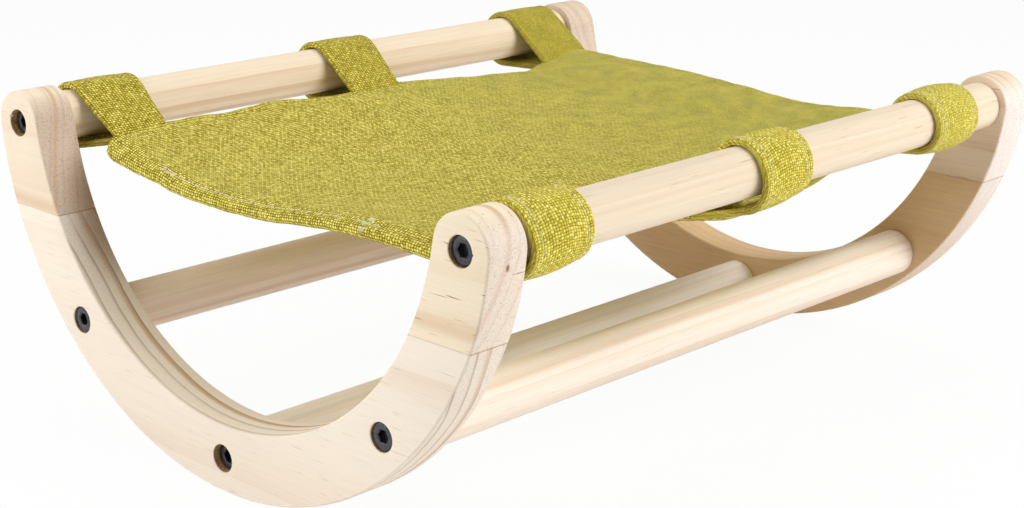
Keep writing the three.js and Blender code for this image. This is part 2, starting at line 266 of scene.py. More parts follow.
def pineMaterial(name, grain, cut):
    # Sanded, unfinished pine. grain is the fibre's axis, and the rings go round the pith
    material, tree = newMaterial(name)
    axis = "XYZ".index(grain)
    source = addNode(tree, "TexCoord")
    coords = source.outputs["Object"]
    place, facing = [addNode(tree, "SeparateXYZ", [source.outputs[part]]).outputs
                     for part in ("Object", "Normal")]

    def grainNoise(width, length, detail):
        # Noise with its spots drawn out along the fibre
        scale = [1 / width] * 3
        scale[axis] = 1 / length
        laid = addNode(tree, "Mapping", {"Vector": coords, "Scale": scale})
        return addNode(tree, "TexNoise", {"Vector": laid, "Scale": 1.0, "Detail": detail})

    def layered(colour, *layers):
        # Tones laid over a colour, each through its own mask
        for mask, tone in layers:
            colour = addNode(tree, "Mix", {"Factor": mask, "A": colour, "B": tone},
                             data_type="RGBA")
        return colour

    # Where the surface looks along the grain it is end grain, and where it looks away from the
    # board's thickness it is an edge
    along, sideways = [addNode(tree, "Math", [facing[k]], operation="ABSOLUTE")
                       for k in (axis, 0)]
    endFac = addNode(tree, "MapRange", [along, *pine["endFrom"]])
    edgeFac = addNode(tree, "MapRange", [sideways, *pine["edgeFrom"]])
    # Rings
    flat = [1, 1, 1]
    flat[axis] = 0
    across = pushedBy(tree, coords, grainNoise(*pine["warp"], 3.0), pine["warpDepth"])
    for operation, value in (("SUBTRACT", cut["pith"]), ("MULTIPLY", flat)):
        across = addNode(tree, "VectorMath", [across, value], operation=operation)
    radius = addNode(tree, "VectorMath", [across], operation="LENGTH")
    count = addNode(tree, "Math", [radius, pine["ringSpacing"]], operation="DIVIDE")
    phase = addNode(tree, "Math", [count], operation="FRACT")
    patchy = addNode(tree, "MapRange", [grainNoise(*pine["patch"], 1.0), *pine["patchShow"]])
    ringFac = addNode(tree, "ValToRGB", [phase], pine["ringStops"])
    for factor in (patchy, cut["rings"]):
        ringFac = addNode(tree, "Math", [ringFac, factor], operation="MULTIPLY")
    early, late = cut["tones"]
    body = addNode(tree, "ValToRGB", [ringFac],
                   [(0.0, early), (0.6, late), (1.0, pine["deepLatewood"])])
    fibre = grainNoise(*pine["fibre"], 2.0)
    fibreTone = addNode(tree, "MapRange", [fibre, *pine["fibreSpread"], 1 - cut["fibre"],
                                           1 + cut["fibre"] / 2])
    toned = addNode(tree, "Mix", {"Factor": 1.0, "A": body, "B": fibreTone},
                    data_type="RGBA", blend_type="MULTIPLY")
    # One broad tan ring, wide where it meets the face at a low angle
    bandRadius, bandStrength = cut["band"]
    fromBand = addNode(tree, "Math", [radius, bandRadius], operation="SUBTRACT")
    bandGap = addNode(tree, "Math", [fromBand], operation="ABSOLUTE")
    bandShow = addNode(tree, "MapRange", [edgeFac, 0, 1, bandStrength * pine["bandOnFace"],
                                          bandStrength])
    bandFac = addNode(tree, "MapRange", [bandGap, 0, pine["bandWidth"], bandShow, 0],
                      interpolation_type="SMOOTHSTEP")
    banded = layered(toned, (bandFac, pine["bandTone"]))
    streakFac = addNode(tree, "MapRange", [grainNoise(*pine["streak"], 0.0),
                                           *pine["streakFrom"], 0, cut["streaks"]])
    # End grain: open pores and short dark checks. The outer rims look away from the middle of
    # the board; on the far panel they are the paler ones, as the photograph shows: painted light
    # on the outer rims, and painted shade on the inner rims that face the sling
    pores = []
    for size, low, high in pine["pores"]:
        spot = addNode(tree, "TexNoise", {"Vector": coords, "Scale": 1 / size, "Detail": 2.0})
        pores.append((addNode(tree, "MapRange", [spot, low, high, 0, cut["pores"]]),
                      pine["endPore"]))
    rim = addNode(tree, "Math", [place[1], facing[1]], operation="MULTIPLY")
    rimShow = addNode(tree, "MapRange", [rim, *pine["rimFrom"], *cut["rim"]])
    ended = layered(banded, (rimShow, cut["endTone"]), *pores)
    # Edges show each latewood ring as a thin brown line
    lineFac = addNode(tree, "ValToRGB", [phase], pine["lineStops"])
    for factor in (patchy, edgeFac, cut["edgeLines"]):
        lineFac = addNode(tree, "Math", [lineFac, factor], operation="MULTIPLY")
    colour = layered(banded, (streakFac, pine["resin"]), (endFac, ended),
                     (lineFac, pine["edgeLine"]))
    # Knots, and patches of painted shade where a board lies in the sling's shade, darken the
    # colour towards their middles
    for centre, size, strength in cut.get("knotsAndShadePatches", ()):
        span = coords
        for operation, value in (("SUBTRACT", centre), ("DIVIDE", size)):
            span = addNode(tree, "VectorMath", [span, value], operation=operation)
        span = addNode(tree, "VectorMath", [span], operation="LENGTH")
        knotAndShadeFac = addNode(tree, "MapRange", [span, pine["knotAndShadeCore"], 1, strength, 0],
                          interpolation_type="SMOOTHSTEP")
        colour = layered(colour, (knotAndShadeFac, pine["knotAndShadeTone"]))
    # The glue joint between a panel's boards is a hairline, plainer on the edges
    if grain == "Y":
        atGlue = addNode(tree, "Math", [place[2], glueHeight, pine["glueWidth"]],
                         operation="COMPARE")
        glueShow = addNode(tree, "MapRange", [edgeFac, 0, 1, *pine["glueShow"]])
        glueFac = addNode(tree, "Math", [atGlue, glueShow], operation="MULTIPLY")
        colour = layered(colour, (glueFac, pine["glue"]))
    strength, depth = pine["bump"]
    grainBump = addNode(tree, "Bump", {"Strength": strength, "Distance": depth, "Height": fibre})
    gloss = addNode(tree, "MapRange", [fibre, 0, 1, *pine["roughness"]])
    shader = addNode(tree, "BsdfPrincipled", {
        "Base Color": colour, "Roughness": gloss, "Specular IOR Level": 0.4, "Normal": grainBump})
    finishMaterial(tree, shader)
    return material


def boredShadeMaterial():
    # Pine cut by a drill: burnished and rougher than the sanded faces, and browner and darker with
    # painted shade for the inside of the bores
    material, tree = newMaterial("boredPineShaded")
    tone = speckled(tree, 1400.0, 3.0, (0.35, pine["boredShade"][0]), (0.62, pine["boredShade"][1]))[1]
    shader = addNode(tree, "BsdfPrincipled", {"Base Color": tone, "Roughness": 0.7,
                                              "Specular IOR Level": 0.3})
    finishMaterial(tree, shader)
    return material


# Side panels: 20 mm board sawn to a half ring, eased all round, glued up from three boards
panel = {
    "outerRadius": 0.155,
    "floorFlat": 0.012,
    "tipRadius": 0.01425,
    "shoulderAngle": math.radians(68),
    "easedEdge": 0.0012,
    "easedSteps": 4,
    "arcStep": math.radians(1.5),
    "tipStep": math.radians(6),
    "glueEase": 0.00012,
}
tipPlace = middleOf("rail_top_left").yz
glueHeight = boxOf("near_left_arm")[0].z
innerFace = boxOf("far_lower_board")[0].x
outerFace = boxOf("far_lower_board")[1].x
ringCentre = Vector((0, math.sqrt(panel["outerRadius"] ** 2 - (panel["floorFlat"] / 2) ** 2)))


def arcFrom(bm, vert, centre, angle, step):
    spun = bmesh.ops.spin(bm, geom=[vert], cent=(0, *centre), axis=(1, 0, 0), angle=angle,
                          steps=max(1, math.ceil(abs(angle) / step)))
    return next(g for g in spun["geom_last"] if isinstance(g, bmesh.types.BMVert))


def angleBetween(a, b):
    # Signed, turning from Y towards Z
    return math.atan2(a.x * b.y - a.y * b.x, a.dot(b))


def halfRing():
    # Half of the outline is drawn with arcs, tangent to each other, and then mirrored
    shoulder = Vector((math.sin(panel["shoulderAngle"]), -math.cos(panel["shoulderAngle"])))
    back = ringCentre - tipPlace
    reach = panel["outerRadius"] - panel["tipRadius"]
    offset = (reach ** 2 - back.length_squared) / (2 * (reach + back.dot(shoulder)))
    shoulderCentre = ringCentre + offset * shoulder
    down = Vector((0, -1))
    floorEnd = Vector((panel["floorFlat"] / 2, 0))
    bm = bmesh.new()
    start = bm.verts.new((0, 0, 0))
    corner = bm.verts.new((0, *floorEnd))
    bm.edges.new((start, corner))
    turn = angleBetween(floorEnd - ringCentre, shoulder)
    vert = arcFrom(bm, corner, ringCentre, turn, panel["arcStep"])
    turn = angleBetween(shoulder, tipPlace - shoulderCentre)
    vert = arcFrom(bm, vert, shoulderCentre, turn, panel["arcStep"])
    turn = angleBetween(tipPlace - shoulderCentre, back) % (2 * math.pi)
    vert = arcFrom(bm, vert, tipPlace, turn, panel["tipStep"])
    turn = angleBetween(-back, down)
    arcFrom(bm, vert, ringCentre, turn, panel["arcStep"])
    bmesh.ops.mirror(bm, geom=[*bm.verts, *bm.edges], axis="Y", merge_dist=touching)
    bmesh.ops.remove_doubles(bm, verts=bm.verts, dist=touching)
    bmesh.ops.edgeloop_fill(bm, edges=bm.edges)
    drawn = bmesh.ops.extrude_face_region(bm, geom=bm.faces[:])
    raised = [g for g in drawn["geom"] if isinstance(g, bmesh.types.BMVert)]
    bmesh.ops.translate(bm, verts=raised, vec=(outerFace - innerFace, 0, 0))
    bmesh.ops.recalc_face_normals(bm, faces=bm.faces)
    rims = [e for e in bm.edges if abs(e.verts[0].co.x - e.verts[1].co.x) < touching]
    bmesh.ops.bevel(bm, geom=rims, offset=panel["easedEdge"], segments=panel["easedSteps"],
                    profile=0.5, affect="EDGES", material=-1)
    return bm


# Screws: black steel, hex socket, sunk in a counterbore
screw = {
    "headRadius": 0.0057,
    "headHeight": 0.004,
    "headEase": 0.0006,
    "easeRound": 0.29,          # share of the ease where the rounded rim bulges most
    "socketAcross": 0.005,
    "socketDepth": 0.003,
    "socketLead": 0.0005,
    "shankRadius": 0.0033,
    "length": 0.05,
    "pointLength": 0.005,
    "pointRadius": 0.0015,
    "steps": 64,
    "tones": ("#242428", "#45454D"),
    "roughness": (0.3, 0.5),
    "sharpAngle": math.radians(25),
}
bore = {
    "radius": 0.006,
    "holeRadius": 0.0036,
    "rimEase": 0.0003,
    "overrun": 0.001,
    "steps": 64,
    "wallReach": 1.01,
    "chipLength": 1.6,
    "chips": [("top_right", -0.0056, 0, 0.0016), ("top_left", 0.0054, 0.0022, 0.0014)],
}
places = ["top_left", "top_right", "side_left", "side_right", "bottom"]


def screwTop(side, place):
    # Where a screw head's flat top is: the middle of its node, at its outer end
    low, high = boxOf(f"screw_{side}_{place}")
    x = low.x if side == "near" else high.x
    return Vector((x, (low.y + high.y) / 2, (low.z + high.z) / 2))


def boreCutter(side, place):
    # On the near panel the bore's mouth is at -X; the far one is the same turned round
    top = screwTop(side, place)
    depth = abs(outerFace) - abs(top.x) + screw["headHeight"]
    profile = [
        (-bore["overrun"], 0),
        (-bore["overrun"], bore["radius"] + bore["rimEase"] + bore["overrun"]),
        (bore["rimEase"], bore["radius"]),
        (depth, bore["radius"]),
        (depth, bore["holeRadius"]),
        (outerFace - innerFace + bore["overrun"], bore["holeRadius"]),
        (outerFace - innerFace + bore["overrun"], 0),
    ]
    cutter = turnedAlongX(profile, bore["steps"])
    mouth = Vector((-outerFace if side == "near" else outerFace, top.y, top.z))
    return moved(cutter, mouth, flip=side == "far")


def chipCutter(place, aside, up, size):
    # A splinter torn out of a near bore's mouth
    chip = coneAlongX(4, size, 0, size * bore["chipLength"])
    top = screwTop("near", place)
    return moved(chip, (-outerFace + size / 2, top.y + aside, top.z + up))


def addPanel(side):
    bm = moved(halfRing(), (-outerFace if side == "near" else innerFace, 0, 0))
    cutters = [boreCutter(side, place) for place in places]
    if side == "near":
        cutters += [chipCutter(*chip) for chip in bore["chips"]]
    solid = cutAway(bm, cutters)
    # The bores' walls and floors are drilled wood, darkened with painted shade
    for axis in [screwTop(side, place).yz for place in places]:
        for face in solid.faces:
            if all((vert.co.yz - axis).length < bore["radius"] * bore["wallReach"]
                   for vert in face.verts):
                face.material_index = 1
    for board, above, sign in [("lower_board", False, 0), ("left_arm", True, 1),
                               ("right_arm", True, -1)]:
        part = solid.copy()
        cuts = [((0, 0, glueHeight), (0, 0, -1 if above else 1))]
        if sign:
            cuts.append(((0, 0, 0), (0, -sign, 0)))
        for place, way in cuts:
            bmesh.ops.bisect_plane(part, geom=[*part.verts, *part.edges, *part.faces],
                                   dist=touching / 10, plane_co=place, plane_no=way,
                                   clear_outer=True)
            cut = [e for e in part.edges if e.is_boundary]
            if cut:
                bmesh.ops.holes_fill(part, edges=cut)
        bmesh.ops.recalc_face_normals(part, faces=part.faces)
        glued = [e for e in part.edges
                 if all(abs(v.co.z - glueHeight) < touching for v in e.verts)]
        bmesh.ops.bevel(part, geom=glued, offset=panel["glueEase"], segments=1, profile=0.5,
                        affect="EDGES", material=-1)
        name = f"{side}_{board}"
        piece = makePiece(f"{name}_wood", part, pineOf[name], "frame", [name])
        piece.data.materials.append(boredShade)
    solid.free()


rail = {"endEase": 0.0004, "pointClearance": 0.0003, "steps": 96}


def addRail(place):
    low, high = boxOf(f"rail_{place}")
    length = high.x - low.x
    radius = (high.z - low.z) / 2
    middle = (low + high) / 2
    ends = []
    for side in ("near", "far"):
        top = screwTop(side, place)
        ends.append(screw["length"] - (abs(top.x) - abs(middle.x) - length / 2))
    near, far = [depth + rail["pointClearance"] for depth in ends]
    profile = [
        (near, 0), (near, bore["holeRadius"]), (0, bore["holeRadius"]),
        (0, radius - rail["endEase"]), (rail["endEase"], radius),
        (length - rail["endEase"], radius), (length, radius - rail["endEase"]),
        (length, bore["holeRadius"]), (length - far, bore["holeRadius"]), (length - far, 0),
    ]
    bm = moved(turnedAlongX(profile, rail["steps"]), (low.x, middle.y, middle.z))
    name = f"rail_{place}"
    makePiece(f"{name}_wood", bm, pineOf[name], "frame", [name])


def screwSolid():
    rounded = screw["headEase"] * screw["easeRound"]
    profile = [
        (screw["length"], 0),
        (screw["length"], screw["pointRadius"]),
        (screw["length"] - screw["pointLength"], screw["shankRadius"]),
        (screw["headHeight"], screw["shankRadius"]),
        (screw["headHeight"], screw["headRadius"]),
        (screw["headEase"], screw["headRadius"]),
        (rounded, screw["headRadius"] - rounded),
        (0, screw["headRadius"] - screw["headEase"]),
        (0, 0),
    ]
    body = turnedAlongX(profile, screw["steps"])
    corner = screw["socketAcross"] / math.sqrt(3)
    wide = corner + screw["socketLead"]
    socket = coneAlongX(6, corner, corner, 2 * screw["socketDepth"])
    lead = coneAlongX(6, wide + screw["socketLead"], wide - screw["socketLead"],
                      2 * screw["socketLead"])
    return cutAway(body, [socket, lead])


def screwMaterial():
    # Black oxide on steel, oiled: near black and satin, with small bright glints
    material, tree = newMaterial("blackOxideSteel")
    dark, light = screw["tones"]
    mottle, tone = speckled(tree, 900.0, 3.0, (0.3, dark), (0.7, light))
    gloss = addNode(tree, "MapRange", [mottle, 0, 1, *screw["roughness"]])
    shader = addNode(tree, "BsdfPrincipled", {
        "Base Color": tone, "Metallic": 0.8, "Roughness": gloss, "Coat Weight": 0.6,
        "Coat Roughness": 0.18})
    finishMaterial(tree, shader)
    return material


def addScrews():
    solid = screwSolid()
    black = screwMaterial()
    for side in ("near", "far"):
        for place in places:
            bm = moved(solid.copy(), screwTop(side, place), flip=side == "far")
            name = f"screw_{side}_{place}"
            makePiece(f"{name}_steel", bm, black, "frame", [name],
                      sharpAngle=screw["sharpAngle"])
    solid.free()


# Every board and rail is cut from its own piece of timber: where its growth rings are centred,
# how strongly they show on the faces and as lines on the edges, its tan band (radius and
# strength), its resin streaks, its fibre and pores, its tones, how strongly the end tone lies on
# the inner and the outer rims, and its knots and patches of painted shade (place, size and
# strength). The tones are set against the photograph, so they hold some of its light
plainTimber = {"edgeLines": 0, "pores": 0.5, "endTone": "#E6D6C4", "rim": (0.6, 0.6)}
timber = {
    # The near lower board's and the near left arm's knot entries are patches of painted shade,
    # where the sling's shade falls on the left arm's inner edge by the glue joint; only the near
    # right arm's are real knots
    "near_lower_board": {"pith": (-0.4405, 0, 0.05), "rings": 0.22, "edgeLines": 0.7,
                         "band": (0.2716, 0.75), "streaks": 0.25, "fibre": 0.035,
                         "tones": ("#FAECDA", "#E3C8A6"), "endTone": "#E7DACC",
                         "knotsAndShadePatches": [((-0.164, 0.112, 0.084), (0.018, 0.030, 0.048), 0.6)]},
    # The near left arm's darker end tone and its slightly darker tones are painted shade, for the
    # sling's shade on its inner edge
    "near_left_arm": {"pith": (-0.377, 0, 0.18), "rings": 0.2, "edgeLines": 0.25,
                      "band": (0.2100, 0.7), "streaks": 0.2, "fibre": 0.03, "pores": 0.75,
                      "tones": ("#F4E2C9", "#D9B78E"), "endTone": "#C2A893",
                      "knotsAndShadePatches": [((-0.164, 0.116, 0.092), (0.018, 0.030, 0.034), 0.45)]},
    "near_right_arm": {"pith": (-0.377, 0, 0.18), "rings": 0.22, "edgeLines": 0.12,
                       "band": (0.2089, 0.7), "streaks": 1.0, "fibre": 0.035,
                       "tones": ("#F9E8CC", "#DDB98C"), "endTone": "#EADACF",
                       "knotsAndShadePatches": [((-0.1733, -0.1524, 0.1275), (0.0015, 0.004, 0.0022), 1.0),
                                 ((-0.1668, -0.1524, 0.1244), (0.0046, 0.004, 0.0004), 0.8)]},
    # The far panel's boards have darker, browner tones than the near panel's. This is painted
    # shade for their inner faces, which lie in shade inside the sling. Their rim shares paint the
    # inner rims darker and the outer rims paler
    "far_lower_board": {"pith": (0.42, 0, 0.03), "rings": 0.35, "edgeLines": 0.15,
                        "band": (0.2480, 0.2), "streaks": 0.3, "fibre": 0.08,
                        "tones": ("#E6C396", "#BF8E5B"), "endTone": "#F0E6DD",
                        "rim": (0.15, 0.95)},
    "far_left_arm": {"pith": (0.377, 0, 0.18), "rings": 0.3, "edgeLines": 0.12,
                     "band": (0.2090, 0.3), "streaks": 0.3, "fibre": 0.07,
                     "tones": ("#E6D0B7", "#C4A17C"), "endTone": "#EFE2D8",
                     "rim": (0.2, 0.9)},
    "far_right_arm": {"pith": (0.377, 0, 0.19), "rings": 0.3, "edgeLines": 0.12,
                      "band": (0.2080, 0.3), "streaks": 0.5, "fibre": 0.08,
                      "tones": ("#F1D9BD", "#CEA67B"), "endTone": "#F2E7DF",
                      "rim": (0.2, 0.95)},
    "rail_top_left": {"pith": (0, 0.16, 0.06), "rings": 0.3, "band": (0.0760, 0.25),
                      "streaks": 0.1, "fibre": 0.06, "tones": ("#F6E3C8", "#D8B183")},
    "rail_top_right": {"pith": (0, -0.11, 0.20), "rings": 0.22, "band": (0.0740, 0.2),
                       "streaks": 0.4, "fibre": 0.045, "tones": ("#ECDAC0", "#D5B084")},
    # The side left rail and the bottom rail have paler, pinker tones than the top rails. This is
    # painted light, making up for the shade and the green bounce under the sling
    "rail_side_left": {"pith": (0, 0.05, 0.12), "rings": 0.4, "band": (0.0830, 0.3),
                       "streaks": 0.1, "fibre": 0.07, "tones": ("#FFEADA", "#F0C5A6")},
    "rail_side_right": {"pith": (0, -0.16, 0.0), "rings": 0.32, "band": (0.0820, 0.3),
                        "streaks": 0.2, "fibre": 0.06, "tones": ("#F9EADA", "#DFBF9C")},
    "rail_bottom": {"pith": (0, 0.06, 0.06), "rings": 0.3, "band": (0.0750, 0.2),
                    "streaks": 0.1, "fibre": 0.06, "tones": ("#FFF4E8", "#FFDDC0")},
}
boredShade = boredShadeMaterial()
pineOf = {}
for name, cut in timber.items():
    grain = "X" if name.startswith("rail") else "Y"
    pineOf[name] = pineMaterial(f"sandedPine_{name}", grain, {**plainTimber, **cut})

for side in ("near", "far"):
    addPanel(side)
print("side panels made")
for place in places:
    addRail(place)
print("rails made")
addScrews()
print("screws made")


# Sling: the sheet and its six loops are padded out from a middle surface, so that every edge is
# a rounded fold and every stitched line a shallow groove
sling = {
    "thickness": 0.003,
    "hemThickness": 0.0044,
    "hemWidth": 0.0045,
    "seamThickness": 0.0054,
    "edgeRound": 0.0032,
    "cornerRound": 0.010,
    "stitchIn": 0.005,
    "stitchPinch": 0.16,
    "stitchWidth": 0.0009,
    "creaseFrom": 0.062,
    "creaseIn": 0.0056,
    "creaseWidth": 0.0011,
    "creaseDepth": 0.0011,
    "creaseEase": 0.004,
    "hemFlat": 0.002,
    "seamReach": 0.009,
    "seamEase": 0.004,
    "rows": 0.0022,
    "closeRows": (0, 0.00004, 0.0002, 0.0006, 0.0012, 0.002, 0.0029, 0.0038, 0.0044, 0.005,
                  0.0056, 0.0064, 0.0078),
    "rippleSize": 0.009,
    "rippleDepth": 0.0005,
    "rippleReach": 0.012,
    "rippleSeed": 3.7,
    "swellSize": 0.045,
    "swellDepth": 0.0011,
    "swellFrom": 0.03,
    "swellSeed": 9.1,
    "sharpAngle": math.radians(80),
}
# The near hem hangs down from a low roll: y, the roll's lift and the hem's fall, in metres
nearHem = {
    "reach": 0.035,
    "width": 0.0095,
    "curl": 1.7,
    "places": (-0.112, -0.098, -0.060, -0.040, 0.0, 0.040, 0.060, 0.070, 0.080, 0.090, 0.100,
               0.112),
    "lift": (0.0044, 0.0044, 0.0046, 0.0045, 0.0042, 0.0036, 0.0037, 0.0042, 0.0034, 0.0020,
             0.0010, 0.0),
    "fall": (0.0050, 0.0050, 0.0050, 0.0048, 0.0048, 0.0050, 0.0054, 0.0053, 0.0054, 0.0058,
             0.0066, 0.0070),
}
# Where the cloth is shaped by listed pushes: a place, how far the push reaches, and the push
# itself
pushes = {
    "leftEdge": ((-0.064, 0.111), (0.020, 0.020), (0, 0.0010, 0.0028)),
    "leftEdgeFar": ((0.085, 0.100), (0.022, 0.020), (0, 0.0010, 0.0014)),
    "leftFarLoop": ((0.122, 0.112), (0.018, 0.018), (0, 0, -0.0042)),
    "leftLoopSide": ((-0.110, 0.111), (0.020, 0.016), (0, 0.0004, 0.0013)),
    "rightNearSide": ((-0.050, -0.113), (0.020, 0.018), (0, 0.0022, 0.0032)),
    "rightLoopSide": ((0.002, -0.113), (0.019, 0.018), (0, -0.0034, -0.0026)),
    "rightFarSide": ((0.060, -0.113), (0.026, 0.018), (0, -0.0070, -0.0036)),
    "farRightCorner": ((0.157, -0.088), (0.030, 0.022), (0, 0, 0.0026)),
    "valleyFar": ((0.064, 0.032), (0.014, 0.026), (0, 0, -0.0016)),
    "valley": ((0.044, -0.004), (0.014, 0.026), (0, 0, -0.0024)),
    "valleyNear": ((0.020, -0.044), (0.014, 0.026), (0, 0, -0.0020)),
    "ridge": ((0.085, 0.020), (0.016, 0.036), (0, 0, 0.0012)),
    "ridgeNear": ((-0.006, -0.030), (0.018, 0.034), (0, 0, 0.0012)),
}
strap = {
    "width": 0.034,
    "thickness": 0.0025,
    "edgeThickness": 0.0031,
    "edgeRound": 0.0015,
    "stitchIn": 0.0045,
    "stitchPinch": 0.12,
    "tuck": 0.004,
    "tuckThickness": 0.0018,
    "seamGap": 0.0012,
    "closeRows": (0, 0.00003, 0.00012, 0.0003, 0.0006, 0.001, 0.0015, 0.0022, 0.0034, 0.0045,
                  0.0056),
    "rows": 0.002,
    "alongRows": 90,
    "endRows": 7,
    "stitchFrom": 6,
    "wave": 0.0003,
    "waveSize": 0.012,
    "waveReach": 0.006,
    "waveSeed": 5.3,
    "edgeFlat": 0.001,
    "edgeWidth": 0.003,
}
# How each loop stands off its rail, at its near and far edge: all round, in its middle (barrel),
# and where it sags away (how much, and at which angle from the top, outboard). Its two edges are
# gathered where it is sewn to the sheet.
loopFit = {
    "left_near": {"stand": (0.0006, 0.0004), "barrel": 0.0008, "sag": (0.0016, 0.0004),
                  "sagAngle": 170, "gather": (0.0022, -0.0036), "shift": 0},
    "left_middle": {"stand": (0.0008, 0.0004), "barrel": 0.0006, "sag": (0.0014, 0.0004),
                    "sagAngle": 170, "gather": (0, -0.0034), "shift": 0},
    "left_far": {"stand": (0.0005, 0.0004), "barrel": 0.0006, "sag": (0.0014, 0.0004),
                 "sagAngle": 170, "gather": (0.0030, 0.0010), "shift": -0.0042},
    "right_near": {"stand": (0.0006, 0.0002), "barrel": 0.0014, "sag": (0.0022, 0.0004),
                   "sagAngle": 130, "gather": (0.0010, -0.0010), "shift": 0},
    "right_middle": {"stand": (0.0004, 0.0002), "barrel": 0.0012, "sag": (0.0034, 0.0008),
                     "sagAngle": 152, "gather": (0.0010, -0.0010), "shift": 0},
    "right_far": {"stand": (0.0001, 0.0001), "barrel": 0.0018, "sag": (0.0004, 0.0002),
                  "sagAngle": 120, "gather": (0.0010, -0.0010), "shift": 0},
}


def spline(places, values, wanted):
    # Natural cubic spline through the values' rows, read at the wanted places
    places, values = np.asarray(places), np.asarray(values, float)
    gaps = np.diff(places)
    slopes = np.diff(values, axis=0) / gaps[:, None]
    count = len(places)
    system = np.eye(count)
    known = np.zeros_like(values)
    for i in range(1, count - 1):
        system[i, i - 1:i + 2] = gaps[i - 1], 2 * (gaps[i - 1] + gaps[i]), gaps[i]
        known[i] = 6 * (slopes[i] - slopes[i - 1])
    bend = np.linalg.solve(system, known)
    at = np.clip(np.searchsorted(places, wanted) - 1, 0, count - 2)
    left = ((np.asarray(wanted) - places[at]) / gaps[at])[:, None]
    right = 1 - left
    square = (gaps[at] ** 2)[:, None] / 6
    return (right * values[at] + left * values[at + 1]
            + square * ((right ** 3 - right) * bend[at] + (left ** 3 - left) * bend[at + 1]))


def rowPlaces(length, closeRows, step):
    # Rows close together near both edges, even between them
    close = np.array(closeRows)
    inner = length - 2 * close[-1]
    count = max(2, round(inner / step))
    middle = close[-1] + inner * np.arange(1, count) / count
    return np.concatenate([close, middle, length - close[::-1]])


def readSheet():
    # Middle surface of the sheet's own CAD solid: its stations along X, and a grid of points
    corners = {}
    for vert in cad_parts["sling_sheet"].data.vertices:
        key = (round(vert.co.x, 5), round(vert.co.y, 5))
        corners.setdefault(key, set()).add(round(vert.co.z, 6))
    stations = sorted({x for x, _ in corners})
    grid = []
    for x in stations:
        row = sorted((y, sum(z) / len(z)) for (at, y), z in corners.items() if at == x)
        grid.append(row[::-1])
    return np.array(stations), np.array(grid)


def surfaceNormals(middle):
    along = np.gradient(middle, axis=0)
    across = np.gradient(middle, axis=1)
    normals = np.cross(along, across)
    return normals / np.linalg.norm(normals, axis=2, keepdims=True)


def runLengths(middle, axis):
    # Distance run along the surface from its first row
    steps = np.linalg.norm(np.diff(middle, axis=axis), axis=2)
    start = np.zeros_like(np.take(steps, [0], axis=axis))
    return np.cumsum(np.concatenate([start, steps], axis=axis), axis=axis)


def runAlong(points):
    # Distance run along one line of points
    return np.concatenate([[0], np.cumsum(np.linalg.norm(np.diff(points, axis=0), axis=1))])


def between(pair, share):
    # From the pair's first value, at a share of 0, to its second
    return pair[0] + (pair[1] - pair[0]) * share


def paddedCloth(middle, thickness):
    # Two layers that meet in a rounded edge all round, each with a map of the flat cloth in
    # metres that follows its own surface
    rows, columns = thickness.shape
    lift = surfaceNormals(middle) * thickness[:, :, None] / 2
    bm = bmesh.new()
    bmesh.ops.create_grid(bm, x_segments=rows - 1, y_segments=columns - 1, size=1)
    lower = bmesh.ops.duplicate(bm, geom=[*bm.verts, *bm.edges, *bm.faces])
    below = {g for g in lower["geom"] if isinstance(g, bmesh.types.BMVert)}
    weaveMap = bm.loops.layers.uv.new("weave")
    layers = []
    for surface in (middle + lift, middle - lift):
        layers.append((surface, np.stack([runLengths(surface, 0), runLengths(surface, 1)], 2)))
    spots = {}
    for vert in bm.verts:
        spot = (round((vert.co.x + 1) / 2 * (rows - 1)),
                round((vert.co.y + 1) / 2 * (columns - 1)))
        spots[vert] = (spot, layers[vert in below])
    for face in bm.faces:
        for loop in face.loops:
            spot, (_, flat) = spots[loop.vert]
            loop[weaveMap].uv = flat[spot]
    for vert, (spot, (surface, _)) in spots.items():
        vert.co = surface[spot]
    closeUp(bm, touching / 10)
    return bm


def edgeProfile(distance, radius):
    # 0 at the edge, rounding up to 1 at the radius
    inside = np.clip(1 - distance / radius, 0, 1)
    return np.sqrt(1 - inside ** 2)


def bump(distance, width):
    return np.exp(-(distance / width) ** 2)


def wander(points, size, seed):
    # Smooth noise between -1 and 1 at each point
    flat = points.reshape(-1, 3) / size + seed
    values = [noise.noise(Vector(p)) for p in flat]
    return np.array(values).reshape(points.shape[:2])


loopBoxes = {name: boxOf(f"loop_{name}") for name in loopFit}


def overLoop(x, name):
    # 1 along the loop's width, easing to 0 on both sides of it
    low, high = loopBoxes[name]
    inside = np.minimum(x - low.x, high.x - x)
    return np.clip(inside / sling["seamEase"] + 0.5, 0, 1)


def makeSheetSurface():
    stations, grid = readSheet()
    xs = stations[0] + rowPlaces(stations[-1] - stations[0], sling["closeRows"], sling["rows"])
    columns = grid.shape[1]
    rough = spline(stations, grid.reshape(len(stations), -1), xs).reshape(len(xs), columns, 2)
    width = abs(grid[0, 0, 0] - grid[0, -1, 0])
    shares = rowPlaces(width, sling["closeRows"], sling["rows"]) / width
    own = np.linspace(0, 1, columns)
    middle = np.zeros((len(xs), len(shares), 3))
    for i, row in enumerate(rough):
        middle[i, :, 0] = xs[i]
        middle[i, :, 1:] = spline(own, row, shares)
    return middle


def pushCloth(middle):
    for (x, y), (reachX, reachY), push in pushes.values():
        near = np.exp(-((middle[:, :, 0] - x) / reachX) ** 2
                      - ((middle[:, :, 1] - y) / reachY) ** 2)
        middle += near[:, :, None] * push


def roundCorner(near, side):
    # How far a point near a square corner moves in, so that the corner becomes a quarter circle
    u = np.clip(1 - near / sling["cornerRound"], 0, 1)
    v = np.clip(1 - side / sling["cornerRound"], 0, 1)
    return (u * (1 - np.sqrt(1 - v * v / 2)) * sling["cornerRound"],
            v * (1 - np.sqrt(1 - u * u / 2)) * sling["cornerRound"])


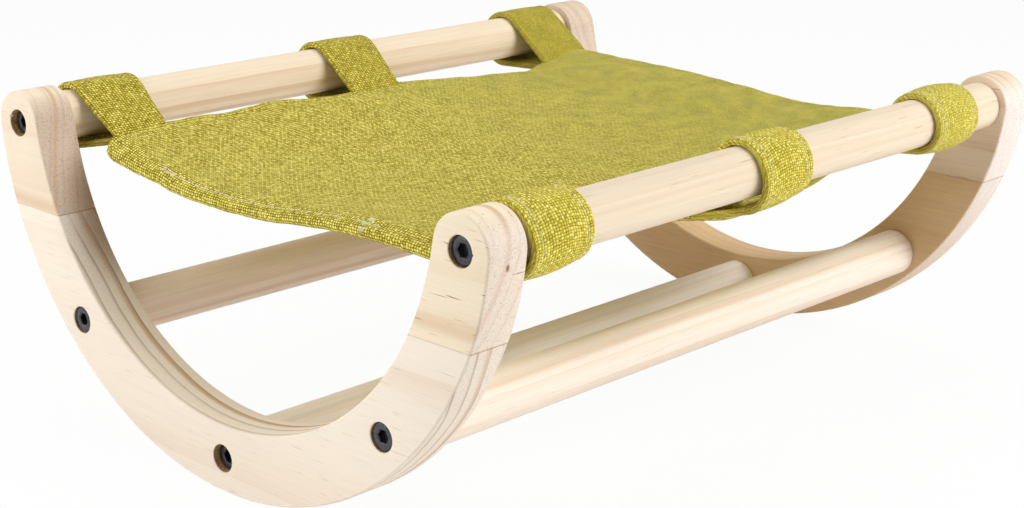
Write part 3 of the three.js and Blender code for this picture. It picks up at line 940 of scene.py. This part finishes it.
def addSheet(cloth):
    middle = makeSheetSurface()
    xs, ys = middle[:, :, 0].copy(), middle[:, :, 1].copy()
    fromNear, fromFar = xs - xs[0, 0], xs[-1, 0] - xs
    fromLeft = np.abs(ys - ys[:, :1])
    fromRight = np.abs(ys - ys[:, -1:])
    edge = np.minimum(np.minimum(fromNear, fromFar), np.minimum(fromLeft, fromRight))
    pushCloth(middle)
    # The near hem hangs down, and every hem ripples a little between its stitches
    places, lifts, falls = [nearHem[key] for key in ("places", "lift", "fall")]
    middle[:, :, 2] += np.interp(ys, places, lifts) * bump(fromNear, nearHem["reach"])
    seamLines = middle[:, 0].copy(), middle[:, -1].copy()
    hanging = np.clip(1 - fromNear / nearHem["width"], 0, 1) ** nearHem["curl"]
    middle[:, :, 2] -= np.interp(ys, places, falls) * hanging
    ripple = wander(middle * (1, 1, 0), sling["rippleSize"], sling["rippleSeed"])
    middle[:, :, 2] += ripple * sling["rippleDepth"] * bump(edge, sling["rippleReach"])
    swell = wander(middle * (1, 1, 0), sling["swellSize"], sling["swellSeed"])
    middle[:, :, 2] += swell * sling["swellDepth"] * np.clip(edge / sling["swellFrom"], 0, 1)
    for along, fromEnd in ((1, fromNear), (-1, fromFar)):
        for across, fromSide in ((-1, fromLeft), (1, fromRight)):
            inX, inY = roundCorner(fromEnd, fromSide)
            middle[:, :, 0] += along * inX
            middle[:, :, 1] += across * inY
    seam = np.zeros_like(xs)
    for name in loopFit:
        side = fromLeft if name.startswith("left") else fromRight
        seam = np.maximum(seam, overLoop(xs, name) * bump(side, sling["seamReach"]))
    hem = bump(np.maximum(edge - sling["hemFlat"], 0), sling["hemWidth"])
    thickness = between((sling["thickness"], sling["hemThickness"]), hem)
    thickness += (sling["seamThickness"] - thickness) * seam
    # The near hem is creased beside its bar tack
    creased = np.clip((-ys - sling["creaseFrom"]) / sling["creaseEase"], 0, 1)
    crease = creased * bump(fromNear - sling["creaseIn"], sling["creaseWidth"])
    middle[:, :, 2] -= sling["creaseDepth"] * crease
    groove = bump(edge - sling["stitchIn"], sling["stitchWidth"])
    thickness *= (1 - sling["stitchPinch"] * groove) * edgeProfile(edge, sling["edgeRound"])
    bm = paddedCloth(middle, thickness)
    piece = makePiece("sling_sheet_cloth", bm, cloth, "sling", ["sling_sheet"],
                      sharpAngle=sling["sharpAngle"])
    return piece, middle, thickness, seamLines


def railOf(name):
    return f"rail_top_{name.split('_')[0]}"


def strapPath(name, share, seam):
    # One line of the strap, round the rail and back to the sheet's edge, at a share of its width
    side = 1 if name.startswith("left") else -1
    fit = loopFit[name]
    low, high = boxOf(railOf(name))
    centre, railRadius = (low + high) / 2, (high.z - low.z) / 2
    stand, sag = [between(fit[key], share) for key in ("stand", "sag")]
    turns = np.radians(np.arange(-120, 301, 3))
    swing = turns - math.radians(fit["sagAngle"])
    radius = (railRadius + stand + strap["thickness"] / 2
              + fit["barrel"] * (1 - (2 * share - 1) ** 2)
              + sag * np.cos(np.clip(swing, -math.pi / 2, math.pi / 2)) ** 2)
    # Outboard is +, and the seam lies inboard
    inboard = side * (seam[0] - centre.y) - strap["tuck"]
    height = seam[1] - centre.z
    seamTop = np.array([inboard, height + strap["seamGap"]])
    seamLow = np.array([inboard, height - strap["seamGap"]])
    roundPart = np.stack([radius * np.sin(turns), radius * np.cos(turns)], axis=1)
    half = int(np.argmin(np.abs(turns - math.pi / 2)))

    def leaning(end):
        way = roundPart - end
        return np.arctan2(way[:, 1], way[:, 0])

    # The straight runs touch the round where they leave it
    first = int(np.argmax(leaning(seamTop)[:half]))
    last = half + int(np.argmin(leaning(seamLow)[half:]))
    path = np.concatenate([[seamTop], roundPart[first:last + 1], [seamLow]])
    points = np.stack([centre.y + side * path[:, 0], centre.z + path[:, 1]], axis=1)
    run = runAlong(points)
    # How far each point lies along the straight runs: 1 at the seam, 0 on the rail
    straight = np.maximum(1 - run / run[1], 1 - (run[-1] - run) / (run[-1] - run[-2]))
    return points, run, np.clip(straight, 0, 1)


def addLoop(name, seamLines, cloth):
    low, high = loopBoxes[name]
    across = rowPlaces(high.x - low.x, strap["closeRows"], strap["rows"])
    xs = low.x + across
    fit = loopFit[name]
    border = seamLines[0 if name.startswith("left") else 1]
    middle = np.zeros((len(xs), strap["alongRows"], 3))
    for i, x in enumerate(xs):
        share = across[i] / across[-1]
        gather = between(fit["gather"], share)
        seam = [np.interp(x + gather + fit["shift"], border[:, 0], border[:, k])
                for k in (1, 2)]
        points, run, straight = strapPath(name, share, seam)
        at = rowPlaces(run[-1], strap["closeRows"][:strap["endRows"]],
                       run[-1] / (strap["alongRows"] - 2 * strap["endRows"]))
        at = np.interp(np.linspace(0, 1, strap["alongRows"]), np.linspace(0, 1, len(at)), at)
        middle[i, :, 0] = x + fit["shift"] + gather * np.interp(at, run, straight)
        middle[i, :, 1] = np.interp(at, run, points[:, 0])
        middle[i, :, 2] = np.interp(at, run, points[:, 1])
    runs = runLengths(middle, 1)
    edge = np.minimum(across, across[-1] - across)[:, None] + 0 * runs
    ends = np.minimum(runs, runs[:, -1:] - runs)
    wave = wander(middle, strap["waveSize"], strap["waveSeed"])
    middle[:, :, 0] += wave * strap["wave"] * bump(edge, strap["waveReach"])
    hem = bump(np.maximum(edge - strap["edgeFlat"], 0), strap["edgeWidth"])
    thickness = between((strap["thickness"], strap["edgeThickness"]), hem)
    thickness *= edgeProfile(np.minimum(edge, ends), strap["edgeRound"])
    tucked = np.clip(1 - ends / strap["tuck"], 0, 1)
    thickness *= 1 - (1 - strap["tuckThickness"] / strap["thickness"]) * tucked
    groove = bump(edge - strap["stitchIn"], sling["stitchWidth"])
    thickness *= 1 - strap["stitchPinch"] * groove
    bm = paddedCloth(middle, thickness)
    piece = makePiece(f"loop_{name}_cloth", bm, cloth, "sling", [f"loop_{name}"],
                      sharpAngle=sling["sharpAngle"])
    return piece, middle, thickness


# Stitches: pale thread, one stitch every 3.3 mm, proud of the cloth on most of the near hem and
# on the right loops, and pulled down into it elsewhere. The tacks are sewn on top of it.
stitch = {
    "length": 0.0029,
    "pitch": 0.0033,
    "radius": 0.0004,
    "proud": 0.00012,
    "sunk": 0.00055,
    "unevenness": 0.0004,
    "tackPlaces": (-0.0587, -0.0597, -0.0607),
    "tackRows": (3, 14),
    "startPlace": 0.066,
    "startReach": 0.0065,
    "sides": 6,
    "rings": 5,
    "tones": ("#C6BB86", "#F3ECCB"),
}


def makeStitchMesh():
    bm = bmesh.new()
    bmesh.ops.create_uvsphere(bm, u_segments=stitch["sides"], v_segments=stitch["rings"],
                              radius=1, matrix=Matrix.Rotation(math.pi / 2, 4, "Y"))
    return meshFrom("oneStitch", bm)


def addStitches(name, rows, thread):
    # Each row is a line of points, the way out of the cloth at each of them, and how far down
    # its stitches lie
    bm = bmesh.new()
    one = makeStitchMesh()
    scale = Matrix.Diagonal((stitch["length"] / 2, stitch["radius"], stitch["radius"], 1))
    seed = 0
    for points, outward, sink in rows:
        run = runAlong(points)
        for at in np.arange(stitch["pitch"] / 2, run[-1] - stitch["pitch"] / 2, stitch["pitch"]):
            seed += 1
            here, ahead = [Vector([np.interp(place, run, points[:, k]) for k in range(3)])
                           for place in (at, at + stitch["length"] / 3)]
            out = Vector([np.interp(at, run, outward[:, k]) for k in range(3)]).normalized()
            along = (ahead - here).normalized()
            aside = out.cross(along).normalized()
            drop = sink + stitch["unevenness"] * noise.noise((seed * 0.71, 0.3, 0.9))
            turn = Matrix((along, aside, along.cross(aside))).transposed().to_4x4()
            lay = Matrix.Translation(here - out * drop) @ turn @ scale
            one.transform(lay)
            bm.from_mesh(one)
            one.transform(lay.inverted())
    bpy.data.meshes.remove(one)
    bmesh.ops.recalc_face_normals(bm, faces=bm.faces)
    return makePiece(name, bm, thread, "sling", sharpAngle=sling["sharpAngle"])


def threadMaterial():
    # Spun polyester sewing thread: off-white, soft, a little darker where it has picked up lint
    material, tree = newMaterial("polyesterThread")
    dark, light = stitch["tones"]
    tone = speckled(tree, 700.0, 2.0, (0.3, dark), (0.65, light))[1]
    shader = addNode(tree, "BsdfPrincipled", {"Base Color": tone, "Roughness": 0.7,
                                              "Sheen Weight": 0.2})
    finishMaterial(tree, shader)
    return material


def clothSides(middle, thickness):
    normals = surfaceNormals(middle)
    lift = normals * thickness[:, :, None] / 2
    return [(middle + lift, normals), (middle - lift, -normals)]


def acrossHem(surface, outward, y):
    # A short line from the near edge inwards, at one place along the hem
    lines = []
    for values in (surface, outward):
        lines.append(np.array([[np.interp(-y, -surface[i, :, 1], values[i, :, k])
                                for k in range(3)] for i in range(*stitch["tackRows"])]))
    return lines


def sheetRows(middle, thickness):
    # The rows round both sides of the sheet, and the bar tack on its upper side
    hem = sling["closeRows"].index(sling["stitchIn"])
    inner = slice(hem, -hem)
    sides = clothSides(middle, thickness)
    # The near row shows from its back tack on, and lies in the nap before it. The seam is sewn
    # back and forth there
    across = np.arange(hem, middle.shape[1] - hem)
    before = middle[0, across, 1] > stitch["startPlace"] + stitch["startReach"]
    fromStart = np.abs(middle[0, :, 1] - stitch["startPlace"])
    start = np.flatnonzero(fromStart < stitch["startReach"])
    rows = []
    for surface, outward in sides:
        for i, j, sink in ((hem, across[~before], stitch["proud"]),
                           (hem, across[before], stitch["sunk"]),
                           (-1 - hem, inner, stitch["sunk"]),
                           (inner, hem, stitch["sunk"]),
                           (inner, -1 - hem, stitch["sunk"]),
                           (hem - 1, start, 0),
                           (hem + 1, start, 0)):
            rows.append((surface[i, j], outward[i, j], sink))
    return rows + [(*acrossHem(*sides[1], y), 0) for y in stitch["tackPlaces"]]


def loopRows(name, middle, thickness):
    # Two rows along the loop's outer side
    row = strap["closeRows"].index(strap["stitchIn"])
    axis = middleOf(railOf(name))
    sides = clothSides(middle, thickness)
    reach = [np.linalg.norm((surface - axis)[:, :, 1:], axis=2).mean() for surface, _ in sides]
    surface, outward = sides[int(reach[1] > reach[0])]
    shown = slice(strap["stitchFrom"], -strap["stitchFrom"])
    sink = stitch["proud" if name.startswith("right") else "sunk"]
    return [(surface[i, shown], outward[i, shown], sink) for i in (row, -1 - row)]


# Coarse plain weave: one yarn lies every 1.18 mm and the other every 1.45 mm, and each float is
# a light crown over a dark olive gap, painted as a highlight on the crown and as shade in the gap.
# Where there are three values, they are for the sheet, the left loops and the right loops, each
# set
# against the photograph and its light: the left loops' copy is darker with painted shade, and the
# right loops' copy paler with painted light
weave = {
    "finePitch": 0.00118,
    "coarsePitch": 0.00145,
    "bends": [(0.02, 0.0003, 1.0), (0.0016, 0.0006, 0.0)],      # size, amount, detail
    "slub": 0.3,
    "slubScale": 2.3,
    "yarnContrast": (0.2, 0.22, 0.22),
    "floatContrast": (0.46, 0.36, 0.3),
    "turnContrast": 0.16,
    "patchSize": 0.012,
    "patchContrast": 0.05,
    "paintedReliefContrast": (1.0, 0.8, 0.56),
    # The middle and the calm tones make the left loops darker, painted shade, and the right loops
    # paler, painted light
    "middle": (0.5, 0.445, 0.58),
    "noiseReach": (0.3, 0.7),       # the noise's values that count as least and most
    "floatEnds": 0.3,
    "calmFrom": (-0.03, 0.1),       # along X: where the calm starts, and where it is full
    "calm": (0.8, 0.7, 0.3),
    "calmTones": (("#A9A24A", "#CABD52"), ("#A39A38", "#C0AD3D"), ("#CBBE5C", "#DAC85C")),
    "calmReach": (0.32, 0.68),
    "colours": [(0.0, "#76660F"), (0.36, "#AD9C2C"), (0.68, "#DFCD4A"), (1.0, "#FFF694")],
    "bump": 0.0003,
}


def clothMaterial(name, pitch, use):
    # Upholstery plain weave in yellow-green melange yarn: light floats and dark gaps, painted as
    # highlight and shade, and soft fuzz.
    # use is the place in weave's threes
    yarnContrast, floatContrast, paintedReliefContrast, middle, calmest, calmTones = [
        weave[key][use] for key in ("yarnContrast", "floatContrast", "paintedReliefContrast",
                                    "middle", "calm", "calmTones")]
    material, tree = newMaterial(name)
    laid = addNode(tree, "UVMap", uv_map="weave")
    bent = laid
    for size, amount, detail in weave["bends"]:
        drift = addNode(tree, "TexNoise", {"Vector": laid, "Scale": 1 / size, "Detail": detail})
        bent = pushedBy(tree, bent, drift, amount)
    threads = addNode(tree, "VectorMath", [bent, (1 / pitch[0], 1 / pitch[1], 0)],
                      operation="MULTIPLY")
    cell, inside = [addNode(tree, "VectorMath", [threads], operation=operation)
                    for operation in ("FLOOR", "FRACTION")]
    spot, count, place = [addNode(tree, "SeparateXYZ", [part]).outputs
                          for part in (inside, cell, threads)]
    total = addNode(tree, "Math", [count[0], count[1]], operation="ADD")
    parity = addNode(tree, "Math", [total, 2], operation="FLOORED_MODULO")
    # The yarn on top turns by a right angle from each cell to the next, and a float is highest
    # along its middle
    crowned = []
    for a, b in ((0, 1), (1, 0)):
        part = addNode(tree, "Mix", {"Factor": parity, "A": spot[a], "B": spot[b]},
                       data_type="FLOAT")
        half = addNode(tree, "Math", [part, math.pi], operation="MULTIPLY")
        crowned.append(addNode(tree, "Math", [half], operation="SINE"))
    crown, rise = crowned
    lift = addNode(tree, "MapRange", [rise, 0, 1, weave["floatEnds"]])
    height = addNode(tree, "Math", [crown, lift], operation="MULTIPLY")
    warpRun, weftRun = [addNode(tree, "Math", [place[k], weave["slub"]], operation="MULTIPLY")
                        for k in (1, 0)]
    warpAt = addNode(tree, "CombineXYZ", [count[0], warpRun, 0])
    weftAt = addNode(tree, "CombineXYZ", [weftRun, count[1], 9])
    yarnAt = addNode(tree, "Mix", {"Factor": parity, "A": warpAt, "B": weftAt},
                     data_type="VECTOR")
    yarn = addNode(tree, "TexNoise", {"Vector": yarnAt, "Scale": weave["slubScale"],
                                      "Detail": 2.0, "Roughness": 0.7})
    glint = addNode(tree, "TexWhiteNoise", [cell], noise_dimensions="2D")
    patch = addNode(tree, "TexNoise", {"Vector": laid, "Scale": 1 / weave["patchSize"],
                                       "Detail": 3.0})
    # Each of these, read over its own reach, lightens or darkens the cloth by up to its contrast
    # The height's share is painted light: a highlight on each float's crown and shade in the gaps.
    # The glint is a painted highlight on random floats
    lit = None
    for part, reach, centre, contrast in (
            (yarn, weave["noiseReach"], 0, yarnContrast),
            (glint, (0, 1), 0, floatContrast / 2),
            (patch, weave["noiseReach"], 0, weave["patchContrast"]),
            (parity, (0, 1), 0, weave["turnContrast"] / 2),
            (height, (0, 1), middle, paintedReliefContrast / 2)):
        tone = addNode(tree, "MapRange", [part, *reach, centre - contrast, centre + contrast])
        lit = addNode(tree, "Math", [lit, tone], operation="ADD") if lit else tone
    strong = addNode(tree, "ValToRGB", [lit], weave["colours"])
    # The photograph is out of focus towards the far panel. The material imitates that by the
    # place on the cloth, so the weave gives way there to a soft mottle from every side
    coords = addNode(tree, "TexCoord").outputs["Object"]
    run = addNode(tree, "SeparateXYZ", [coords])
    calm = addNode(tree, "MapRange", [run, *weave["calmFrom"], 0, calmest])
    soft = addNode(tree, "ValToRGB", [patch], list(zip(weave["calmReach"], calmTones)))
    colour = addNode(tree, "Mix", {"Factor": calm, "A": strong, "B": soft}, data_type="RGBA")
    crowns = addNode(tree, "Bump", {"Strength": 1.0, "Distance": weave["bump"],
                                    "Height": height})
    shader = addNode(tree, "BsdfPrincipled", {
        "Base Color": colour, "Roughness": 0.88, "Specular IOR Level": 0.2,
        "Sheen Weight": 0.12, "Sheen Roughness": 0.5, "Sheen Tint": "#F2EBB0",
        "Normal": crowns})
    finishMaterial(tree, shader)
    return material


pitches = weave["finePitch"], weave["coarsePitch"]
clothOfSheet = clothMaterial("plainWeaveSheet", pitches, 0)
# The left loops get a darker copy of the cloth, painted shade, and the right loops a paler one,
# painted light
litAndShadedLoopCloth = {"left": clothMaterial("plainWeaveLeftLoopsShaded", pitches[::-1], 1),
                "right": clothMaterial("plainWeaveRightLoopsLit", pitches[::-1], 2)}
thread = threadMaterial()
sheetPiece, sheetMiddle, sheetThickness, seamLines = addSheet(clothOfSheet)
hemStitches = addStitches("sling_sheet_stitches", sheetRows(sheetMiddle, sheetThickness),
                          thread)

for name in loopFit:
    piece, middle, thickness = addLoop(name, seamLines, litAndShadedLoopCloth[name.split("_")[0]])
    stitches = addStitches(f"loop_{name}_stitches", loopRows(name, middle, thickness), thread)


# Studio: a white floor that keeps the shadow, a white world and soft lamps
studio = {
    "floorSize": 6,
    "white": "#FFFFFF",
    "floorGlow": 0.95,
    "ambient": 0.05,
    "lamps": [
        {"name": "right", "place": (0.7, -1.33, 0.8), "power": 24.5, "size": 1.2},
        {"name": "front", "place": (-1.05, 0.55, 0.6), "power": 7.4, "size": 0.8},
        {"name": "high", "place": (-1.1, 0.1, 1.1), "power": 4.2, "size": 0.8},
        {"name": "left", "place": (-0.3, 1.5, 1.2), "power": 2.4, "size": 1.0},
        {"name": "top", "place": (0.2, 0.3, 1.6), "power": 8, "size": 1.2},
    ],
    "aim": (0, 0, 0.08),
}


def whiteSeen(tree):
    # 1 for the rays that show a plain white background: the camera's, mirrors' and glass's
    rays = addNode(tree, "LightPath").outputs
    seen = rays["Is Glossy Ray"]
    for kind in ("Is Transmission Ray", "Is Camera Ray"):
        seen = addNode(tree, "Math", [rays[kind], seen], operation="MAXIMUM")
    return seen


def makeFloor():
    bm = bmesh.new()
    bmesh.ops.create_grid(bm, x_segments=1, y_segments=1, size=studio["floorSize"] / 2)
    floor = newObject("floor", meshFrom("floor", bm))
    material, tree = newMaterial("whitePaper")
    paper = addNode(tree, "BsdfDiffuse", {"Color": studio["white"]})
    glow = addNode(tree, "Emission", {"Color": studio["white"], "Strength": 1.0})
    share = addNode(tree, "Math", [whiteSeen(tree), studio["floorGlow"]], operation="MULTIPLY")
    finishMaterial(tree, addNode(tree, "MixShader", [share, paper, glow]))
    floor.data.materials.append(material)


def makeWorld():
    world = bpy.data.worlds.new("world")
    scene.world = world
    world.use_nodes = True
    tree = world.node_tree
    tree.nodes.clear()
    strength = addNode(tree, "MapRange", [whiteSeen(tree), 0, 1, studio["ambient"]])
    glow = addNode(tree, "Background", {"Color": studio["white"], "Strength": strength})
    addNode(tree, "OutputWorld", {"Surface": glow})


def makeLamps():
    for lamp in studio["lamps"]:
        data = bpy.data.lights.new(lamp["name"], "AREA")
        data.energy = lamp["power"]
        data.size = lamp["size"]
        light = newObject(lamp["name"], data)
        light.location = lamp["place"]
        aim = Vector(studio["aim"]) - Vector(lamp["place"])
        light.rotation_euler = aim.to_track_quat("-Z", "Y").to_euler()


makeFloor()
makeWorld()
makeLamps()
scene.view_settings.view_transform = "Standard"
print("studio set")
